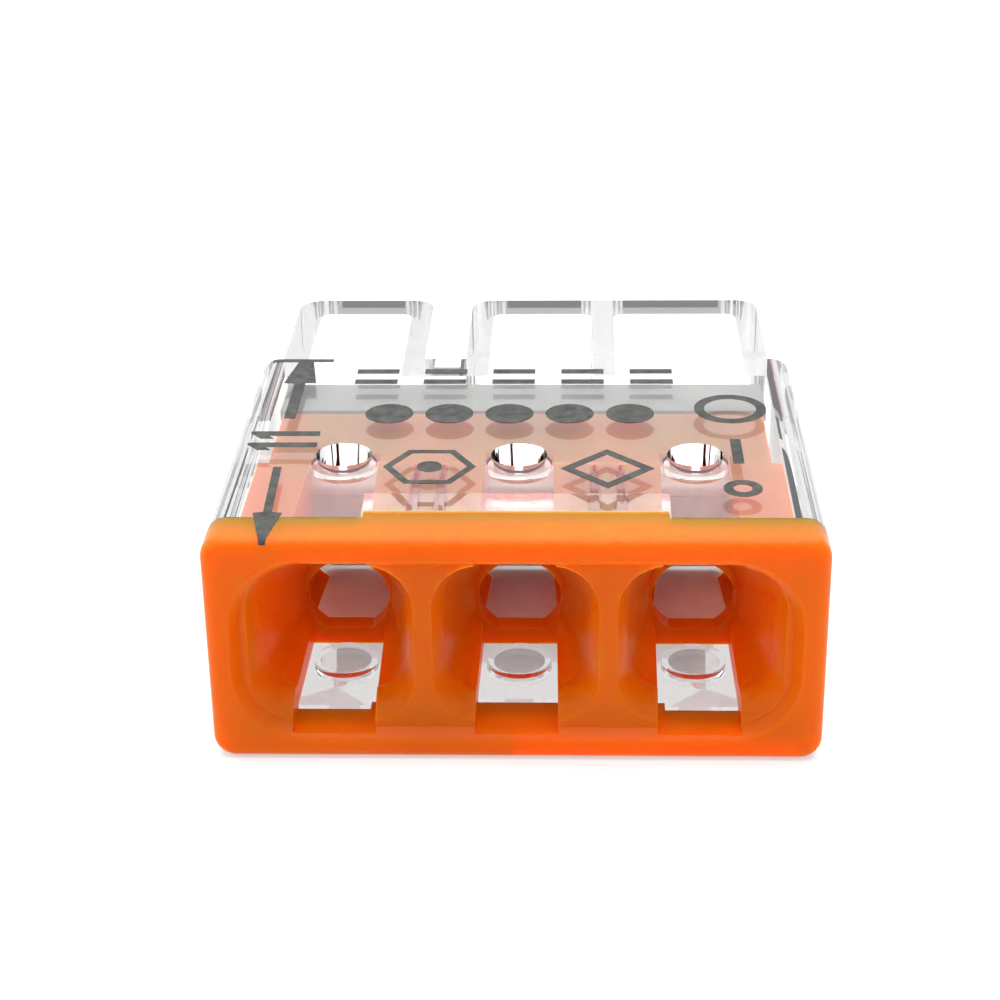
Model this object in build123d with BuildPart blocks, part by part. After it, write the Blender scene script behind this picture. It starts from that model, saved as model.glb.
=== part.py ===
from build123d import *
import os
from math import cos, radians, sin

# Three-pole push-in wire connector: a clear cap, a coloured wire guide, a busbar and three leaf springs.
# Frame: millimetres, +Z up, origin under the centre of the bounding box.
# Wires go in along +Y through the face at the front, and depths are counted from that face.

os.makedirs("parts", exist_ok=True)

# ---------------------------------------------------------------- driving dimensions
poles = 3
pitch = 4.2                # from one wire entry to the next
width = 14.0
height = 5.6
length = 15.4
wall = 0.7                 # top, bottom and side walls of the clear housing
fit_gap = 0.02             # between the wire guide and the housing
corner_radius = 0.5        # long outer edges

body_depth = 10.9          # the full-width part of the housing ends here
pocket_width = 12.8        # across the wire-end pockets behind it
pocket_wall = 0.6
pocket_corner = 0.6
test_slot_width = 1.1      # gap between the pockets

rim_depth = 1.25           # coloured rim in front of the housing
rim_tab_width = 6.9        # centre tabs of the rim, let into the housing
rim_tab_depth = 1.58
rim_edge = 0.3

latch_depth_top = 4.7      # centre of each top latch boss
latch_depth_bottom = 3.15
latch_radius = 0.79
latch_rise = 0.2
recess_radius = 0.67       # blind hole behind each boss
recess_depth = 0.72

wire_floor = 1.15          # height at which a wire slides in
bore_radius = 1.02
bore_height = 2.0
bore_start, bore_end = 4.2, 4.75
guide_step = bore_end      # the guide gets lower and narrower behind this
guide_end = 7.9
chamber_wall = 0.6
roof_underside = 4.57

metal_width = 12.3
contact_height = 1.1       # busbar surface under the wires
busbar_start, busbar_end = 4.85, 10.1
busbar_sheet = 0.28
flange_start, flange_top = 8.0, 4.85

leaf_sheet = 0.22
leaf_width = 2.2
leaf_end = 9.7
bend_depth, bend_height = 5.9, 4.0   # centre of each front bend, which is the hinge line
bend_radius = 0.55
lap_gap = 0.02             # between the two layers of the bend
tongue_slope = 50.0        # of a clamping tongue at rest, in degrees
tongue_length = 3.25
tip_corner = 0.45

mid_height = height / 2
pole_positions = [(pole - (poles - 1) / 2) * pitch for pole in range(poles)]
pole_borders = [x + pitch / 2 for x in pole_positions[:-1]]


def y_at(depth):
    """Y of a depth behind the front face."""
    return depth - length / 2


def section(depth):
    """Plane facing the front, at a depth behind the front face."""
    return Plane.XZ.offset(-y_at(depth))


def finish(part, name):
    """Label a finished piece and write it."""
    part.label = name
    export_step(part, f"parts/{name}.step")


def block(x_range, depths, heights, mode=Mode.ADD):
    """Box between two X values, two depths and two heights."""
    with BuildSketch(Plane.XY.offset(heights[0])) as plan:
        with Locations((sum(x_range) / 2, y_at(sum(depths) / 2))):
            Rectangle(x_range[1] - x_range[0], depths[1] - depths[0])
    extrude(plan.sketch, amount=heights[1] - heights[0], mode=mode)


def wedge(x, depths, half_widths, heights, mode=Mode.ADD):
    """Upright wedge about a line of constant X, with a half width at each of two depths."""
    near, far = (y_at(depth) for depth in depths)
    near_half, far_half = half_widths
    with BuildSketch(Plane.XY.offset(heights[0])) as plan:
        with BuildLine():
            Polyline(
                (x - near_half, near),
                (x + near_half, near),
                (x + far_half, far),
                (x - far_half, far),
                close=True,
            )
        make_face()
    extrude(plan.sketch, amount=heights[1] - heights[0], mode=mode)


# ---------------------------------------------------------------- housing: clear cap, open at the front
cavity_end = body_depth - wall
top_inside = height - wall
slot_x, partition_x = pole_borders
left_pocket = (-pocket_width / 2, slot_x - test_slot_width / 2)
right_pocket = (slot_x + test_slot_width / 2, pocket_width / 2)
pocket_rooms = [
    (left_pocket[0] + pocket_wall, left_pocket[1] - pocket_wall),
    (right_pocket[0] + pocket_wall, partition_x - pocket_wall / 2),
    (partition_x + pocket_wall / 2, right_pocket[1] - pocket_wall),
]
probe_width, probe_heights = 0.7, (1.6, 3.8)      # opening at the bottom of the test slot
step_half, step_end, step_drop = 3.5, 2.52, 0.12  # shallow step in the top, behind the rim
step_ramp = 1.2                                   # length of the slope at its rear
fin_offset, fin_drop = 0.31, 0.7                  # two guide fins beside each pole border
fin_depths, fin_halves = (1.7, 4.6), (0.15, 0.03)

with BuildPart() as housing:
    with BuildSketch(section(rim_depth)):
        with Locations((0, mid_height)):
            RectangleRounded(width, height, corner_radius)
    extrude(amount=rim_depth - body_depth)
    for start, end in (left_pocket, right_pocket):
        with BuildSketch(Plane.XY) as pocket_plan:
            with Locations(((start + end) / 2, y_at((cavity_end + length) / 2))):
                Rectangle(end - start, length - cavity_end)
            fillet(pocket_plan.vertices().group_by(Axis.Y)[-1], pocket_corner)
        extrude(amount=height)
    block((-width / 2 + wall, width / 2 - wall), (0, cavity_end), (wall, top_inside), Mode.SUBTRACT)
    for start, end in pocket_rooms:
        with BuildSketch(Plane.XY.offset(wall)) as room_plan:
            with Locations(((start + end) / 2, y_at((cavity_end + length - pocket_wall) / 2))):
                Rectangle(end - start, length - pocket_wall - cavity_end)
            fillet(room_plan.vertices().group_by(Axis.Y)[-1], pocket_corner / 2)
        extrude(amount=height - 2 * wall, mode=Mode.SUBTRACT)
    probe_sides = (slot_x - probe_width / 2, slot_x + probe_width / 2)
    block(probe_sides, (cavity_end, body_depth), probe_heights, Mode.SUBTRACT)
    tab_half = rim_tab_width / 2 + fit_gap
    for heights in ((0, wall), (top_inside, height)):
        block((-tab_half, tab_half), (0, rim_tab_depth), heights, Mode.SUBTRACT)
    with BuildSketch(Plane.YZ.offset(-step_half)):
        with BuildLine():
            Polyline(
                (y_at(0), height - step_drop),
                (y_at(step_end - step_ramp), height - step_drop),
                (y_at(step_end), height),
                (y_at(0), height),
                close=True,
            )
        make_face()
    extrude(amount=2 * step_half, mode=Mode.SUBTRACT)
    for outside, inward, depth in ((height, -1, latch_depth_top), (0, 1, latch_depth_bottom)):
        spots = [(x, y_at(depth)) for x in pole_positions]
        with BuildSketch(Plane.XY.offset(outside + inward * wall)):
            with Locations(*spots):
                Circle(latch_radius)
        extrude(amount=inward * latch_rise, taper=8)
        with BuildSketch(Plane.XY.offset(outside)):
            with Locations(*spots):
                Circle(recess_radius)
        extrude(amount=inward * recess_depth, taper=4, mode=Mode.SUBTRACT)
    for border in pole_borders:
        for x in (border - fin_offset, border + fin_offset):
            wedge(x, fin_depths, fin_halves, (top_inside - fin_drop, top_inside))
finish(housing.part, "housing")

# ---------------------------------------------------------------- wire guide: insert with the entries
plug_width = width - 2 * (wall + fit_gap)
plug_height = height - 2 * (wall + fit_gap)
rear_width, rear_top = 12.1, 4.8
recess_size, recess_corner, recess_taper = (12.95, 4.58), 1.7, 35
recess_edge = 0.12
recess_height = 2.79
mouth_depth, mouth_size, mouth_height, mouth_corner = 0.3, (3.78, 4.0), 2.86, 1.1
lip_depth, lip_size, lip_height, lip_corner = 0.6, (3.5, 3.62), 2.98, 0.95   # a quick first narrowing
waist_depth, waist_size, waist_height, waist_corner = 1.3, (3.25, 3.4), 2.87, 0.95
throat_size, throat_corner = (2.1, 1.9), 0.6
groove_start, groove_floor, groove_top = 0.12, 0.6, 5.0
groove_halves = (0.96, 0.9)
groove_lip = wire_floor + 0.25            # the floor groove cuts through the throat's lower corners
window_halves, latch_window_end, latch_window_floor = (0.92, 0.83), 5.52, 3.3
fin_clearance = 0.06
room_half = (pitch - chamber_wall) / 2
cheek_depths, cheek_gaps, cheek_height = (bore_end, 7.0), (0.95, 0.79), 0.25


def cheek_profile(gap):
    """Corner points of a sloped cheek beside the wire, as distances from the pole and heights."""
    return [
        (gap, contact_height + fit_gap),
        (room_half, contact_height + fit_gap),
        (room_half, contact_height + cheek_height),
        (gap + cheek_height, contact_height + cheek_height),
    ]


with BuildPart() as wire_guide:
    with BuildSketch(section(0)):
        with Locations((0, mid_height)):
            RectangleRounded(width, height, corner_radius)
    extrude(amount=-rim_depth)
    fillet(wire_guide.edges().group_by(Axis.Y)[0], rim_edge)
    tab_half = rim_tab_width / 2
    for heights in ((0, wall), (top_inside, height)):
        block((-tab_half, tab_half), (rim_edge, rim_tab_depth), heights)
    with BuildSketch(section(rim_depth)):
        with Locations((0, mid_height)):
            Rectangle(plug_width, plug_height)
    extrude(amount=rim_depth - guide_step)
    rear_half = rear_width / 2
    block((-rear_half, rear_half), (guide_step, guide_end), (contact_height + fit_gap, rear_top))

    with BuildSketch(section(0)):
        with Locations((0, recess_height)):
            RectangleRounded(*recess_size, recess_corner)
    extrude(amount=-mouth_depth, taper=recess_taper, mode=Mode.SUBTRACT)
    front_face = wire_guide.faces().sort_by(Axis.Y)[0]
    fillet(front_face.inner_wires()[0].edges(), recess_edge)
    for x in pole_positions:
        with BuildSketch(section(0)):
            with Locations((x, mouth_height)):
                RectangleRounded(*mouth_size, mouth_corner)
        extrude(amount=-mouth_depth, mode=Mode.SUBTRACT)
        with BuildSketch(section(mouth_depth)):
            with Locations((x, mouth_height)):
                RectangleRounded(*mouth_size, mouth_corner)
        with BuildSketch(section(lip_depth)):
            with Locations((x, lip_height)):
                RectangleRounded(*lip_size, lip_corner)
        with BuildSketch(section(waist_depth)):
            with Locations((x, waist_height)):
                RectangleRounded(*waist_size, waist_corner)
        loft(mode=Mode.SUBTRACT)
        with BuildSketch(section(waist_depth)):
            with Locations((x, waist_height)):
                RectangleRounded(*waist_size, waist_corner)
        with BuildSketch(section(bore_start)):
            with Locations((x, wire_floor + throat_size[1] / 2)):
                RectangleRounded(*throat_size, throat_corner)
        loft(mode=Mode.SUBTRACT)
        with BuildSketch(section(bore_start)):
            with Locations((x, bore_height)):
                Circle(bore_radius)
            below_floor = (Align.CENTER, Align.MAX)
            with Locations((x, wire_floor)):
                Rectangle(2 * bore_radius, 2 * bore_radius, align=below_floor, mode=Mode.SUBTRACT)
        extrude(amount=bore_start - bore_end, mode=Mode.SUBTRACT)
        wedge(x, (groove_start, bore_start), groove_halves, (groove_floor, groove_lip), Mode.SUBTRACT)
        wedge(x, (groove_start, bore_start), window_halves, (waist_height, groove_top), Mode.SUBTRACT)
        latch_x = (x - window_halves[1], x + window_halves[1])
        block(latch_x, (bore_start, latch_window_end), (latch_window_floor, groove_top), Mode.SUBTRACT)
        block((x - room_half, x + room_half), (bore_end, guide_end), (wall, roof_underside), Mode.SUBTRACT)
        for side in (-1, 1):
            with BuildSketch(section(cheek_depths[0])):
                with BuildLine():
                    Polyline(*[(x + side * u, v) for u, v in cheek_profile(cheek_gaps[0])], close=True)
                make_face()
            with BuildSketch(section(cheek_depths[1])):
                with BuildLine():
                    Polyline(*[(x + side * u, v) for u, v in cheek_profile(cheek_gaps[1])], close=True)
                make_face()
            loft()
    for border in pole_borders:
        for x in (border - fin_offset, border + fin_offset):
            slot_depths = (rim_depth, fin_depths[1] + fin_clearance)
            slot_halves = [half + fin_clearance for half in fin_halves]
            slot_heights = (top_inside - fin_drop - fin_clearance, top_inside)
            wedge(x, slot_depths, slot_halves, slot_heights, Mode.SUBTRACT)
finish(wire_guide.part, "wire_guide")

# ---------------------------------------------------------------- busbar: one bent strip across all poles
busbar_half = metal_width / 2
web_window = (2.4, 1.1, 3.5)             # width, bottom and top of each wire opening in the rear web
outer_bend = 0.45

with BuildPart() as busbar:
    with BuildSketch(Plane.YZ.offset(-busbar_half)) as profile:
        with Locations((y_at((busbar_start + busbar_end) / 2), (wall + flange_top) / 2)):
            Rectangle(busbar_end - busbar_start, flange_top - wall)
        fillet(profile.vertices().group_by(Axis.X)[-1], outer_bend)
        hollow = (busbar_end - busbar_sheet - busbar_start, flange_top - busbar_sheet - contact_height)
        with Locations((y_at(busbar_start), contact_height)):
            Rectangle(*hollow, align=(Align.MIN, Align.MIN), mode=Mode.SUBTRACT)
        with Locations((y_at(busbar_start), contact_height)):
            open_front = (flange_start - busbar_start, flange_top)
            Rectangle(*open_front, align=(Align.MIN, Align.MIN), mode=Mode.SUBTRACT)
    extrude(amount=metal_width)
    for x in pole_positions:
        window_x = (x - web_window[0] / 2, x + web_window[0] / 2)
        block(window_x, (busbar_end - 1, busbar_end), web_window[1:], Mode.SUBTRACT)
finish(busbar.part, "busbar")

# ---------------------------------------------------------------- leaf springs: leg and clamping tongue
hinge = (y_at(bend_depth), bend_height)
layer = (leaf_sheet - lap_gap) / 2
inner_radius = bend_radius - leaf_sheet
bend_exit = 270 - tongue_slope           # where the tongue leaves the bend, in degrees from +Y
outer_lap, inner_lap = (90, bend_exit - 8), (110, bend_exit)


def bend_layer(inner, outer, angles):
    """Ring sector about the hinge line, as a face in the YZ plane."""
    with BuildSketch() as sector:
        with BuildLine():
            long_arc = CenterArc(hinge, outer, angles[0], angles[1] - angles[0])
            short_arc = CenterArc(hinge, inner, angles[0], angles[1] - angles[0])
            Line(long_arc @ 0, short_arc @ 0)
            Line(long_arc @ 1, short_arc @ 1)
        make_face()
    return sector.sketch


def from_hinge(radius, angle, along=0):
    """Point at a radius and angle about the hinge line, moved along the tongue."""
    turn, slope = radians(angle), radians(tongue_slope)
    return (
        hinge[0] + radius * cos(turn) + along * cos(slope),
        hinge[1] + radius * sin(turn) - along * sin(slope),
    )


for number, x in enumerate(pole_positions, start=1):
    side_plane = Plane.YZ.offset(x - leaf_width / 2)
    with BuildPart() as leg:
        with BuildSketch(side_plane):
            add(bend_layer(bend_radius - layer, bend_radius, outer_lap))
            with Locations((hinge[0], bend_height + bend_radius)):
                Rectangle(leaf_end - bend_depth, leaf_sheet, align=(Align.MIN, Align.MAX))
        extrude(amount=leaf_width)
    finish(leg.part, f"spring_leg_{number}")

    with BuildPart() as tongue:
        with BuildSketch(side_plane):
            add(bend_layer(inner_radius, inner_radius + layer, inner_lap))
            with BuildLine():
                Polyline(
                    from_hinge(inner_radius, bend_exit),
                    from_hinge(bend_radius, bend_exit),
                    from_hinge(bend_radius, bend_exit, tongue_length),
                    from_hinge(inner_radius, bend_exit, tongue_length),
                    close=True,
                )
            make_face()
        extrude(amount=leaf_width)
        tip_edges = tongue.edges().filter_by(lambda edge: abs(edge.length - leaf_sheet) < 1e-4)
        fillet(tip_edges.group_by(Axis.Z)[0], tip_corner)
    finish(tongue.part, f"clamping_tongue_{number}")
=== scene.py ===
from math import cos, pi, radians, sin

import bmesh
import bpy
from mathutils import Matrix, Vector
from mathutils.bvhtree import BVHTree


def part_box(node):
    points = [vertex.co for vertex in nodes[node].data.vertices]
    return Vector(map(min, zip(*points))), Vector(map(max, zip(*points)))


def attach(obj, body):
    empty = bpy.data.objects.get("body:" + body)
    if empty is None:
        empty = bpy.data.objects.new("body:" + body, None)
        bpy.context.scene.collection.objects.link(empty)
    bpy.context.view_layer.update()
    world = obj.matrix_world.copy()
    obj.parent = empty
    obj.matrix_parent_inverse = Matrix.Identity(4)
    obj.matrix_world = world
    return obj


MM = 0.001

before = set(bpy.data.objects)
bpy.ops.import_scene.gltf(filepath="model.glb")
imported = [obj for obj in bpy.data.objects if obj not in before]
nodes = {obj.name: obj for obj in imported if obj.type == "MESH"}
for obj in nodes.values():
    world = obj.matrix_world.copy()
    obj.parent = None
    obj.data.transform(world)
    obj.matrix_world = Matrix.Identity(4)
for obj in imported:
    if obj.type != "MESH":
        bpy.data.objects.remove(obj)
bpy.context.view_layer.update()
low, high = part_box("wire_guide")
FRONT_Y = low.y
TOP_Z = high.z


def at_depth(depth_mm):
    """Y, in metres, of a depth in millimetres behind the front face."""
    return FRONT_Y + depth_mm * MM


# ---------------------------------------------------------------- camera
LENS, SENSOR = 77.6, 36.0
CAMERA_PLACE = Vector((1.332, -49.973, 26.62)) * MM
CAMERA_TILT = radians(25.30)     # looking down
CAMERA_YAW = radians(-2.199)     # looking to the left of +Y
CAMERA_ROLL = radians(-0.862)
NEAR_CLIP, FAR_CLIP = 1 * MM, 5000 * MM


def make_camera():
    """Camera in front of the connector and above it, looking down at the entries."""
    data = bpy.data.cameras.new("camera")
    data.lens = LENS
    data.sensor_width = SENSOR
    data.clip_start = NEAR_CLIP
    data.clip_end = FAR_CLIP
    data.dof.use_dof = False
    camera = bpy.data.objects.new("camera", data)
    bpy.context.scene.collection.objects.link(camera)
    forward = Vector(
        (
            sin(CAMERA_YAW) * cos(CAMERA_TILT),
            cos(CAMERA_YAW) * cos(CAMERA_TILT),
            -sin(CAMERA_TILT),
        )
    )
    right = Vector((cos(CAMERA_YAW), -sin(CAMERA_YAW), 0))
    up = right.cross(forward)
    rolled_right = cos(CAMERA_ROLL) * right + sin(CAMERA_ROLL) * up
    rolled_up = cos(CAMERA_ROLL) * up - sin(CAMERA_ROLL) * right
    turn = Matrix((rolled_right, rolled_up, -forward)).transposed()
    camera.matrix_world = Matrix.Translation(CAMERA_PLACE) @ turn.to_4x4()
    bpy.context.scene.camera = camera


# ---------------------------------------------------------------- materials
POLYCARBONATE_IOR = 1.585
NOISE_LOW, NOISE_HIGH = 0.3, 0.7         # most noise values lie between these
BLEND_START, BLEND_END = 0.35, 0.65      # noise values where a colour blend starts and ends
# strength of the painted glow of the orange moulding, which lifts its shaded parts
ORANGE_PAINTED_GLOW = 0.13
TABLE_GLOW = 0.45


def shader(name):
    """New material, its node tree and its Principled shader."""
    material = bpy.data.materials.new(name)
    material.use_nodes = True
    tree = material.node_tree
    return material, tree, tree.nodes["Principled BSDF"]


def object_noise(tree, scale, detail=3.0, stretch=(1, 1, 1)):
    """Noise in the object's own space, with its scale in features per metre."""
    place = tree.nodes.new("ShaderNodeTexCoord")
    mapping = tree.nodes.new("ShaderNodeMapping")
    mapping.inputs["Scale"].default_value = stretch
    noise = tree.nodes.new("ShaderNodeTexNoise")
    noise.inputs["Scale"].default_value = scale
    noise.inputs["Detail"].default_value = detail
    tree.links.new(place.outputs["Object"], mapping.inputs["Vector"])
    tree.links.new(mapping.outputs["Vector"], noise.inputs["Vector"])
    return noise.outputs["Fac"]


def ranged(tree, source, low_value, high_value):
    """Noise value spread over a range."""
    spread = tree.nodes.new("ShaderNodeMapRange")
    spread.inputs["From Min"].default_value = NOISE_LOW
    spread.inputs["From Max"].default_value = NOISE_HIGH
    spread.inputs["To Min"].default_value = low_value
    spread.inputs["To Max"].default_value = high_value
    tree.links.new(source, spread.inputs["Value"])
    return spread.outputs["Result"]


def blended(tree, source, first, second):
    """Colour between two colours, by a noise value."""
    ramp = tree.nodes.new("ShaderNodeValToRGB")
    ramp.color_ramp.elements[0].position = BLEND_START
    ramp.color_ramp.elements[0].color = (*first, 1)
    ramp.color_ramp.elements[1].position = BLEND_END
    ramp.color_ramp.elements[1].color = (*second, 1)
    tree.links.new(source, ramp.inputs["Fac"])
    return ramp.outputs["Color"]


def bumped(tree, principled, source, strength, distance_mm):
    """Give a shader small relief from a noise value."""
    bump = tree.nodes.new("ShaderNodeBump")
    bump.inputs["Strength"].default_value = strength
    bump.inputs["Distance"].default_value = distance_mm * MM
    tree.links.new(source, bump.inputs["Height"])
    tree.links.new(bump.outputs["Normal"], principled.inputs["Normal"])


def clear_polycarbonate():
    """Polished clear moulding, with faint flow waves and slightly hazier patches."""
    material, tree, principled = shader("clear_polycarbonate")
    principled.inputs["Base Color"].default_value = (0.997, 0.998, 0.998, 1)
    principled.inputs["Transmission Weight"].default_value = 1.0
    principled.inputs["IOR"].default_value = POLYCARBONATE_IOR
    haze = object_noise(tree, scale=500, detail=2)
    roughness = ranged(tree, haze, low_value=0.0, high_value=0.035)
    tree.links.new(roughness, principled.inputs["Roughness"])
    waves = object_noise(tree, scale=260, detail=1, stretch=(1, 0.5, 1))
    bumped(tree, principled, waves, strength=0.06, distance_mm=0.05)
    return material


def orange_polycarbonate():
    """Satin moulding, translucent to red light, with a faint painted orange glow that lifts its shade, and
    a fine spark-eroded grain.
    """
    material, tree, principled = shader("orange_polycarbonate")
    deep_orange, light_orange = (0.35, 0.101, 0.0004), (0.39, 0.112, 0.0008)
    patches = object_noise(tree, scale=180, detail=2)
    tree.links.new(blended(tree, patches, deep_orange, light_orange), principled.inputs["Base Color"])
    principled.inputs["IOR"].default_value = POLYCARBONATE_IOR
    principled.inputs["Subsurface Weight"].default_value = 1.0
    principled.inputs["Subsurface Radius"].default_value = (1.0, 0.04, 0.005)
    principled.inputs["Subsurface Scale"].default_value = 8.0 * MM
    # painted glow: a faint orange emission that lifts the shade inside the funnels and chambers
    principled.inputs["Emission Color"].default_value = (1.0, 0.03, 0.0, 1)
    principled.inputs["Emission Strength"].default_value = ORANGE_PAINTED_GLOW
    roughness = ranged(tree, object_noise(tree, scale=900), low_value=0.28, high_value=0.38)
    tree.links.new(roughness, principled.inputs["Roughness"])
    principled.inputs["Specular IOR Level"].default_value = 0.08
    grain = object_noise(tree, scale=5000, detail=2)
    bumped(tree, principled, grain, strength=0.05, distance_mm=0.004)
    return material


def tinned_copper():
    """Matte tin plate with faint streaks, with painted shade: light on the contact strip and darker up on
    the rear flange.
    """
    material, tree, principled = shader("tinned_copper")
    # painted shade: the base colour darkens from the light tint at 1.5 mm height to the dark tint at 4.5
    # mm, so the rear flange is drawn shaded
    lit_height, shaded_height = 1.5 * MM, 4.5 * MM
    place = tree.nodes.new("ShaderNodeTexCoord")
    split = tree.nodes.new("ShaderNodeSeparateXYZ")
    tree.links.new(place.outputs["Object"], split.inputs["Vector"])
    shade_amount = tree.nodes.new("ShaderNodeMapRange")
    shade_amount.inputs["From Min"].default_value = lit_height
    shade_amount.inputs["From Max"].default_value = shaded_height
    tree.links.new(split.outputs["Z"], shade_amount.inputs["Value"])
    patches = object_noise(tree, scale=700)
    lit_tint = blended(tree, patches, (0.80, 0.78, 0.76), (0.88, 0.86, 0.84))
    shaded_tint = blended(tree, patches, (0.20, 0.20, 0.19), (0.27, 0.27, 0.26))
    # mix of the lit tint and the painted-shade tint, by height
    tint = tree.nodes.new("ShaderNodeMixRGB")
    tree.links.new(shade_amount.outputs["Result"], tint.inputs["Fac"])
    tree.links.new(lit_tint, tint.inputs["Color1"])
    tree.links.new(shaded_tint, tint.inputs["Color2"])
    tree.links.new(tint.outputs["Color"], principled.inputs["Base Color"])
    principled.inputs["Metallic"].default_value = 1.0
    streaks = object_noise(tree, scale=1500, stretch=(0.12, 1, 1))
    roughness = ranged(tree, streaks, low_value=0.5, high_value=0.65)
    tree.links.new(roughness, principled.inputs["Roughness"])
    bumped(tree, principled, streaks, strength=0.15, distance_mm=0.01)
    return material


def spring_steel():
    """Rolled stainless strip with fine lines along it."""
    material, tree, principled = shader("spring_steel")
    streaks = object_noise(tree, scale=2600, stretch=(1, 0.1, 0.1))
    tint = blended(tree, streaks, (0.68, 0.66, 0.64), (0.80, 0.78, 0.76))
    tree.links.new(tint, principled.inputs["Base Color"])
    principled.inputs["Metallic"].default_value = 1.0
    roughness = ranged(tree, streaks, low_value=0.42, high_value=0.58)
    tree.links.new(roughness, principled.inputs["Roughness"])
    bumped(tree, principled, streaks, strength=0.2, distance_mm=0.005)
    return material


def print_ink():
    """Pad-printed black ink, a little uneven in depth and gloss."""
    material, tree, principled = shader("print_ink")
    dense, thin = (0.022, 0.024, 0.022), (0.05, 0.052, 0.048)
    patches = object_noise(tree, scale=4000, detail=4)
    tree.links.new(blended(tree, patches, dense, thin), principled.inputs["Base Color"])
    roughness = ranged(tree, object_noise(tree, scale=2500), low_value=0.45, high_value=0.7)
    tree.links.new(roughness, principled.inputs["Roughness"])
    principled.inputs["Specular IOR Level"].default_value = 0.2
    return material


def pale_table():
    """Grey table with an even white glow of its own, which makes it pale and its shadows faint."""
    material, tree, principled = shader("pale_table")
    darker_grey, lighter_grey = (0.45, 0.45, 0.45), (0.47, 0.47, 0.47)
    patches = object_noise(tree, scale=20, detail=2)
    tree.links.new(blended(tree, patches, darker_grey, lighter_grey), principled.inputs["Base Color"])
    principled.inputs["Roughness"].default_value = 0.6
    principled.inputs["Emission Color"].default_value = (1, 1, 1, 1)
    principled.inputs["Emission Strength"].default_value = TABLE_GLOW
    return material


def dress(names, material):
    """Give CAD nodes a material."""
    for name in names:
        piece = nodes[name]
        piece.data.materials.clear()
        piece.data.materials.append(material)


# ---------------------------------------------------------------- prints
INK_THICKNESS = 0.008 * MM
INK_GAP = 0.002 * MM
SAME_POINT = 0.0001 * MM
WELD_DISTANCE = 0.003 * MM


def top_surface():
    """Search tree over the faces of the housing and the wire guide, for laying ink on them."""
    mesh = bmesh.new()
    for name in ("housing", "wire_guide"):
        mesh.from_mesh(nodes[name].data)
    tree = BVHTree.FromBMesh(mesh)
    mesh.free()
    return tree


def flat_mesh(name, outlines):
    """Flat mesh that fills the outlines, at Z = 0."""
    curve = bpy.data.curves.new(name, "CURVE")
    curve.dimensions = "2D"
    curve.fill_mode = "BOTH"
    for outline in outlines:
        spline = curve.splines.new("POLY")
        spline.points.add(len(outline) - 1)
        for point, (x, depth) in zip(spline.points, outline):
            point.co = (x * MM, at_depth(depth), 0, 1)
        spline.use_cyclic_u = True
    flat = bpy.data.objects.new(name + "_flat", curve)
    bpy.context.scene.collection.objects.link(flat)
    bpy.context.view_layer.update()
    mesh = bpy.data.meshes.new_from_object(flat)
    bpy.data.objects.remove(flat)
    return mesh


def cut_into_cells(film, step):
    """Cut a flat film along lines a step apart in X and in Y, so that it can bend with the surface."""
    for axis in (0, 1):
        values = [v.co[axis] for v in film.verts]
        count = int((max(values) - min(values)) / step)
        for line in range(1, count + 1):
            point, normal = Vector((0, 0, 0)), Vector((0, 0, 0))
            point[axis] = min(values) + line * step
            normal[axis] = 1
            everything = list(film.verts) + list(film.edges) + list(film.faces)
            bmesh.ops.bisect_plane(film, geom=everything, plane_co=point, plane_no=normal)


def lay_on_top(film, tree):
    """Drop each point of a film to just above the surface below it."""
    for vertex in film.verts:
        start = Vector((vertex.co.x, vertex.co.y, TOP_Z + MM))
        hit = tree.ray_cast(start, Vector((0, 0, -1)))[0]
        vertex.co.z = hit.z + INK_GAP


def thicken(film):
    """Close a film with a second layer, the ink's thickness above the first."""
    for face in film.faces:
        if face.normal.z < 0:
            face.normal_flip()
    below = list(film.faces)
    made = bmesh.ops.extrude_face_region(film, geom=below)["geom"]
    for element in made:
        if isinstance(element, bmesh.types.BMVert):
            element.co.z += INK_THICKNESS
    bmesh.ops.recalc_face_normals(film, faces=film.faces)


def print_mark(name, outlines, tree, material, cell_mm=0.12):
    """Closed film of ink on the top. Outlines are lists of (X, depth) in millimetres, and an inner outline
    is a hole."""
    mesh = flat_mesh(name, outlines)
    film = bmesh.new()
    film.from_mesh(mesh)
    bmesh.ops.remove_doubles(film, verts=film.verts, dist=SAME_POINT)
    cut_into_cells(film, cell_mm * MM)
    bmesh.ops.remove_doubles(film, verts=film.verts, dist=WELD_DISTANCE)
    bmesh.ops.triangulate(film, faces=film.faces)
    bmesh.ops.dissolve_degenerate(film, edges=film.edges, dist=WELD_DISTANCE)
    lay_on_top(film, tree)
    thicken(film)
    film.to_mesh(mesh)
    film.free()
    piece = bpy.data.objects.new(name, mesh)
    bpy.context.scene.collection.objects.link(piece)
    piece.data.materials.clear()
    piece.data.materials.append(material)
    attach(piece, "connector")


def ring(x, depth, radius, points=40):
    """Round outline, or a regular polygon when it has few points."""
    turns = [2 * pi * k / points for k in range(points)]
    return [(x + radius * cos(turn), depth + radius * sin(turn)) for turn in turns]


def bar(x_low, x_high, near, far):
    """Rectangular outline."""
    return [(x_low, near), (x_high, near), (x_high, far), (x_low, far)]


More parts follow.
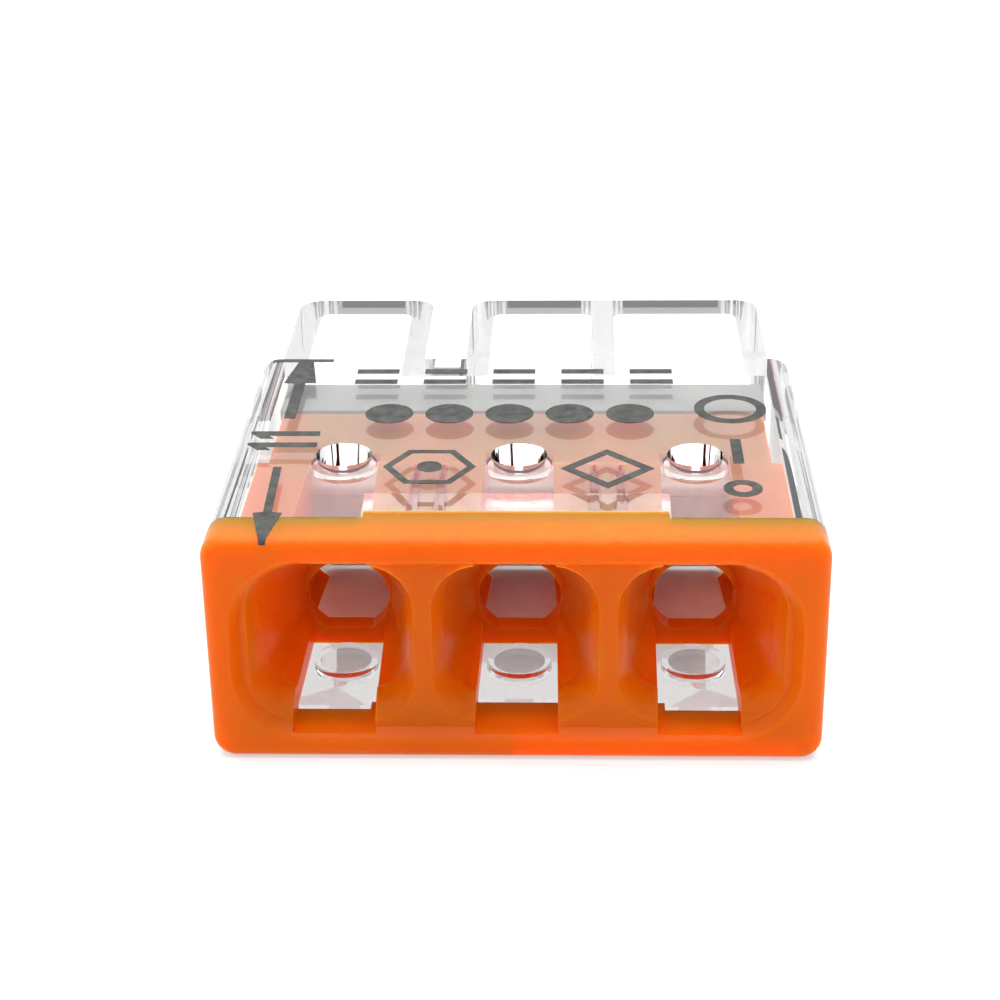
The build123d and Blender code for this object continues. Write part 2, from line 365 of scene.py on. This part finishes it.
def print_gauge(tree, ink):
    """Strip gauge at the left: an arrow to the front face, the number 11, and an arrow to a rear line."""
    rear_line, line_width = 10.87, 0.2
    tip = rear_line - line_width
    print_mark("print_gauge_line", [bar(-6.66, -5.05, tip, rear_line)], tree, ink)
    shaft_x, half_shaft, half_head, half_tip = -5.77, 0.14, 0.42, 0.2
    shaft_start, head_start = 6.9, 9.2
    rear_arrow = [
        (shaft_x - half_shaft, shaft_start),
        (shaft_x + half_shaft, shaft_start),
        (shaft_x + half_shaft, head_start),
        (shaft_x + half_head, head_start),
        (shaft_x + half_tip, tip),
        (shaft_x - half_tip, tip),
        (shaft_x - half_head, head_start),
        (shaft_x - half_shaft, head_start),
    ]
    print_mark("print_gauge_arrow_rear", [rear_arrow], tree, ink)
    front_arrow = [
        (-5.80, 3.96),
        (-5.60, 3.96),
        (-5.52, 1.5),
        (-5.28, 1.45),
        (-5.5, 0.06),
        (-5.64, 0.06),
        (-5.95, 1.45),
        (-5.72, 1.5),
    ]
    print_mark("print_gauge_arrow_front", [front_arrow], tree, ink, cell_mm=0.03)
    foot_x, top_x, half_stroke, flag = -4.9, -6.6, 0.13, 0.3
    for number, middle in enumerate((5.26, 5.94), start=1):
        digit = [
            (foot_x, middle - half_stroke),
            (foot_x, middle + half_stroke),
            (top_x, middle + half_stroke),
            (top_x, middle + 0.02),
            (-6.32, middle - flag),
            (-6.0, middle - flag),
            (-6.14, middle - half_stroke),
        ]
        print_mark(f"print_gauge_digit_{number}", [digit], tree, ink)


def print_band(tree, ink):
    """Plain row of discs, and a double dashed line behind it."""
    discs, start, end = 5, -3.3, 2.7
    disc_depth, disc_radius = 7.2, 0.6
    for number in range(discs):
        x = start + number * (end - start) / (discs - 1)
        print_mark(f"print_disc_{number + 1}", [ring(x, disc_depth, disc_radius)], tree, ink)
    dashes, dash_start, dash_end = 5, -3.8, 3.3
    half_length, half_stroke = 0.55, 0.15
    for row, depth in enumerate((9.3, 10.0), start=1):
        for number in range(dashes):
            x = dash_start + number * (dash_end - dash_start) / (dashes - 1)
            outline = bar(x - half_length, x + half_length, depth - half_stroke, depth + half_stroke)
            print_mark(f"print_dash_{row}_{number + 1}", [outline], tree, ink)


def print_signs(tree, ink):
    """Plain hexagon with a dot, and a plain diamond, between the latch recesses."""
    left, right = (-2.1, 4.0), (2.1, 3.9)
    hexagon = [ring(*left, radius, points=6) for radius in (1.1, 0.9)]
    print_mark("print_sign_hexagon", hexagon, tree, ink)
    print_mark("print_sign_dot", [ring(*left, radius=0.3)], tree, ink)
    diamond = [ring(*right, radius, points=4) for radius in (1.1, 0.8)]
    print_mark("print_sign_diamond", diamond, tree, ink)


def print_range(tree, ink):
    """Wire range as a small ring, a dash and a large ring along the right side."""
    near, far = (5.2, 2.8), (5.2, 7.5)
    print_mark("print_range_small", [ring(*near, radius) for radius in (0.45, 0.22)], tree, ink)
    print_mark("print_range_dash", [bar(5.07, 5.33, 4.2, 5.6)], tree, ink)
    print_mark("print_range_large", [ring(*far, radius) for radius in (0.9, 0.65)], tree, ink)


# ---------------------------------------------------------------- stage and light
TABLE_HALF = 600 * MM
LIGHT_AIM = Vector((0, 0, 3)) * MM       # the middle of the connector, about halfway up
SKY_FRONT, SKY_BACK = 0.8, 1.35          # strength at the front, and above and behind
SKY_TURN_START, SKY_TURN_END = -0.9, 0.1  # Y of the direction where the one passes into the other
CLEAR_BOUNCES, DIFFUSE_BOUNCES = 32, 12


def make_stage(material):
    """Flat table at the foot of the connector."""
    half = TABLE_HALF
    mesh = bpy.data.meshes.new("table")
    corners = [(-half, -half, 0), (half, -half, 0), (half, half, 0), (-half, half, 0)]
    mesh.from_pydata(corners, [], [(0, 1, 2, 3)])
    table = bpy.data.objects.new("table", mesh)
    bpy.context.scene.collection.objects.link(table)
    table.data.materials.append(material)


def soft_light(name, place_mm, size_mm, power):
    """Square area light aimed at the middle of the connector."""
    data = bpy.data.lights.new(name, "AREA")
    data.size = size_mm * MM
    data.energy = power
    light = bpy.data.objects.new(name, data)
    light.location = Vector(place_mm) * MM
    aim = LIGHT_AIM - light.location
    light.rotation_euler = aim.to_track_quat("-Z", "Y").to_euler()
    bpy.context.scene.collection.objects.link(light)


def make_sky():
    """Plain white surroundings, dimmer on the side of the entries (-Y) than above and behind."""
    world = bpy.data.worlds.new("studio")
    world.use_nodes = True
    tree = world.node_tree
    place = tree.nodes.new("ShaderNodeTexCoord")
    split = tree.nodes.new("ShaderNodeSeparateXYZ")
    spread = tree.nodes.new("ShaderNodeMapRange")
    spread.inputs["From Min"].default_value = SKY_TURN_START
    spread.inputs["From Max"].default_value = SKY_TURN_END
    spread.inputs["To Min"].default_value = SKY_FRONT
    spread.inputs["To Max"].default_value = SKY_BACK
    tree.links.new(place.outputs["Generated"], split.inputs["Vector"])
    tree.links.new(split.outputs["Y"], spread.inputs["Value"])
    background = tree.nodes["Background"]
    background.inputs["Color"].default_value = (1, 1, 1, 1)
    tree.links.new(spread.outputs["Result"], background.inputs["Strength"])
    bpy.context.scene.world = world


def make_light():
    """Plain surroundings, two soft lights, and enough bounces for light to pass through the clear parts."""
    make_sky()
    soft_light("overhead", place_mm=(0, 25, 140), size_mm=160, power=0.34)
    soft_light("left", place_mm=(-120, -20, 90), size_mm=90, power=0.03)
    bpy.context.scene.view_settings.view_transform = "Standard"
    light_paths = bpy.context.scene.cycles
    light_paths.max_bounces = CLEAR_BOUNCES
    light_paths.transmission_bounces = CLEAR_BOUNCES
    light_paths.diffuse_bounces = DIFFUSE_BOUNCES


make_camera()
dress(["housing"], clear_polycarbonate())
dress(["wire_guide"], orange_polycarbonate())
dress(["busbar"], tinned_copper())
spring_names = [name for name in nodes if name.startswith(("spring_leg", "clamping_tongue"))]
dress(spring_names, spring_steel())
surface = top_surface()
ink_material = print_ink()
print_gauge(surface, ink_material)
print_band(surface, ink_material)
print_signs(surface, ink_material)
print_range(surface, ink_material)
make_stage(pale_table())
make_light()
